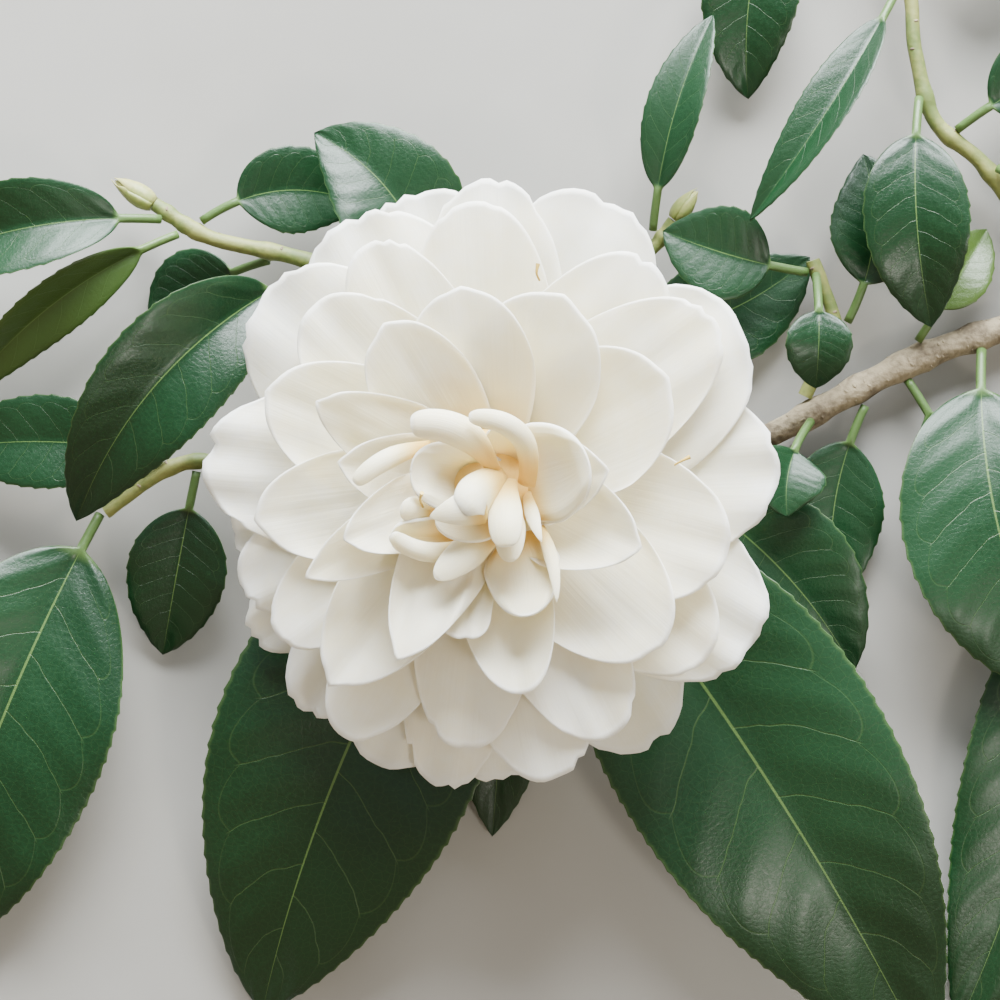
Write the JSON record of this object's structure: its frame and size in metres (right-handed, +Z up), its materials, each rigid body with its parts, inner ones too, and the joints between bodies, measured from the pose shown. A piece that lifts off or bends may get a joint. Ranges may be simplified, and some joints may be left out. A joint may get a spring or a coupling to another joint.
{
  "type": "cut camellia branch in bloom",
  "caption": "Cut camellia branch with a large formal-double white bloom, glossy toothed leaves on slim shoots, and leaf buds.",
  "frame": {"origin": "middle of the bounding box's foot, on the surface that the branch lies on", "axes": "+Z up, which the bloom faces with a slight lean to -X; +X towards the cut end of the main stem; -Y towards the two large lower leaves' tips"},
  "size_m": [0.2274, 0.2226, 0.0597],
  "materials": {
    "petal": "soft matt ivory white",
    "leaf": "glossy dark green",
    "bark": "rough grey-brown bark",
    "green_stem": "satin yellow-green young bark",
    "sepal": "matt pale green with brown edges",
    "bud": "satin green scales"
  },
  "bodies": {
    "root": {"bloom": "petal", "calyx": "sepal", "flower_stalk": "green_stem", "leaf_left_1": "leaf", "leaf_left_2": "leaf", "leaf_left_3": "leaf", "leaf_left_4": "leaf", "leaf_left_5": "leaf", "leaf_left_6": "leaf", "leaf_lower_left_1": "leaf", "leaf_lower_left_2": "leaf", "leaf_lower_left_3": "leaf", "leaf_lower_left_4": "leaf", "leaf_lower_right_1": "leaf", "leaf_main_1": "leaf", "leaf_main_2": "leaf", "leaf_main_3": "leaf", "leaf_main_4": "leaf", "leaf_main_5": "leaf", "leaf_main_6": "leaf", "leaf_main_7": "leaf", "leaf_main_8": "leaf", "leaf_right_1": "leaf", "leaf_right_2": "leaf", "leaf_right_3": "leaf", "leaf_upper_1": "leaf", "leaf_upper_2": "leaf", "leaf_upper_right_1": "leaf", "leaf_upper_right_2": "leaf", "leaf_upper_right_3": "leaf", "leaf_upper_right_4": "leaf", "leaf_upper_right_5": "leaf", "leaf_upper_right_6": "leaf", "left_bud": "bud", "left_shoot": "green_stem", "lower_left_shoot": "green_stem", "lower_right_shoot": "green_stem", "main_stem": "bark", "right_shoot": "green_stem", "upper_bud": "bud", "upper_right_bud": "bud", "upper_right_shoot": "green_stem", "upper_shoot": "green_stem"}
  },
  "joints": []
}
